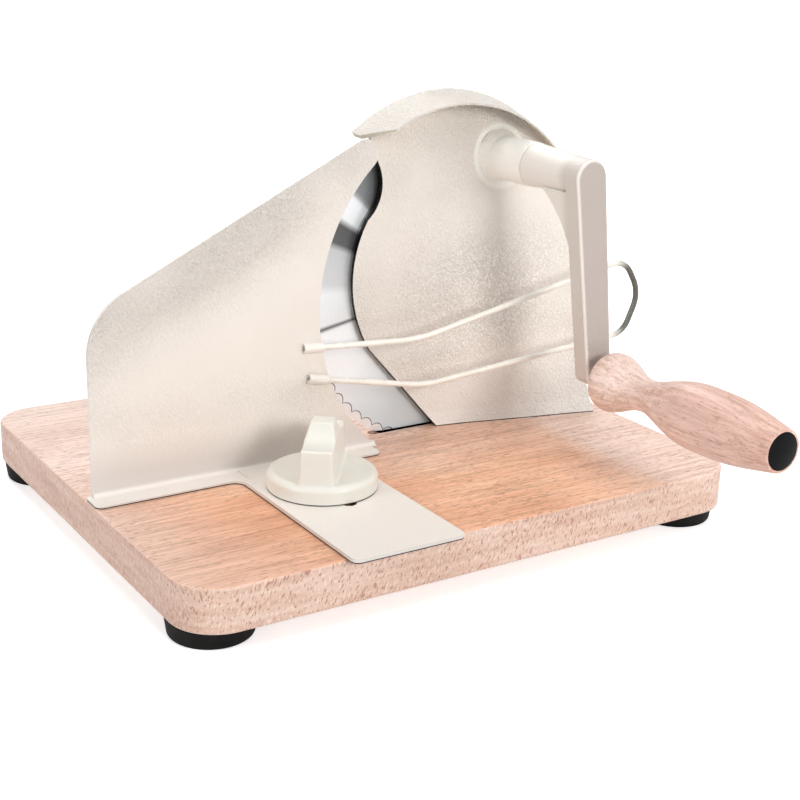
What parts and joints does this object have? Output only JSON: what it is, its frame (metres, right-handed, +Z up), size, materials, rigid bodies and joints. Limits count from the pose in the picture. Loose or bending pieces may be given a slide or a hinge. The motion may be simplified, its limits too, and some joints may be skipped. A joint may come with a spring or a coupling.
{
  "type": "hand crank bread slicer",
  "caption": "Hand crank bread slicer: a wooden board carries a geared round blade, its cast hood, a sliding stop plate with a wire bow, and a clamp knob.",
  "frame": {"origin": "middle of the board's underside", "axes": "+X along the blade towards the crank side, +Y towards the side where the loaf lies, +Z up"},
  "size_m": [0.34, 0.3743, 0.2335],
  "materials": {
    "beech": "oiled beech, satin",
    "handle_wood": "turned beech, satin lacquer",
    "rubber": "moulded, matt",
    "cream_paint": "cream powder coat on an aluminium casting",
    "cream_plate": "cream powder coat on sheet steel",
    "coated_wire": "cream coated steel wire",
    "cream_knob": "moulded, half gloss",
    "black_cap": "moulded, gloss",
    "blade_steel": "ground stainless steel",
    "gear_steel": "stamped, zinc plated",
    "shaft_steel": "turned",
    "screw_steel": "zinc plated",
    "bush_brass": "turned",
    "washer_plastic": "natural nylon"
  },
  "bodies": {
    "root": {"board": "beech", "foot_front_left": "rubber", "foot_front_right": "rubber", "foot_rear_left": "rubber", "foot_rear_right": "rubber", "foot_screws": "screw_steel", "housing": "cream_paint", "housing_screws": "screw_steel", "blade_axle": "shaft_steel", "blade_washer": "screw_steel", "blade_screw": "screw_steel", "shaft_bush_front": "bush_brass", "shaft_bush_rear": "bush_brass", "crank_washer": "washer_plastic", "board_insert": "bush_brass"},
    "crank": {"crank_shaft": "shaft_steel", "crank_pinion": "gear_steel", "crank_arm": "cream_paint", "crank_grub_screw": "screw_steel", "handle_spindle": "shaft_steel", "handle_nut": "screw_steel", "handle_washer": "screw_steel"},
    "blade": {"blade": "blade_steel", "blade_gear": "gear_steel", "blade_bush": "bush_brass", "blade_rivets": "screw_steel"},
    "grip": {"handle_grip": "handle_wood", "handle_end_cap": "black_cap"},
    "fence": {"stop_fence": "cream_plate", "slice_wire": "coated_wire"},
    "clamp": {"clamp_knob": "cream_knob", "clamp_stud": "screw_steel", "clamp_washer": "screw_steel"}
  },
  "joints": [
    {"name": "crank_spin", "type": "hinge", "parent": "root", "child": "crank", "pos_m": [0.09015, -0.04, 0.18511], "axis": [0, 1, 0], "continuous": true},
    {"name": "blade_spin", "type": "hinge", "parent": "root", "child": "blade", "pos_m": [0.063, 0.004, 0.108], "axis": [0, 1, 0], "continuous": true},
    {"name": "grip_spin", "type": "hinge", "parent": "crank", "child": "grip", "pos_m": [0.10513, -0.16, 0.0729], "axis": [0, 1, 0], "continuous": true},
    {"name": "fence_slide", "type": "slide", "parent": "root", "child": "fence", "axis": [0, 1, 0], "range_m": [0, 0.0165]},
    {"name": "clamp_turn", "type": "hinge", "parent": "root", "child": "clamp", "pos_m": [-0.055, -0.0603, 0.034], "axis": [0, 0, 1], "range_deg": [-30, 150]}
  ],
  "couplings": [
    {"joint": "blade_spin", "follows": "crank_spin", "ratio": -0.43421}
  ]
}
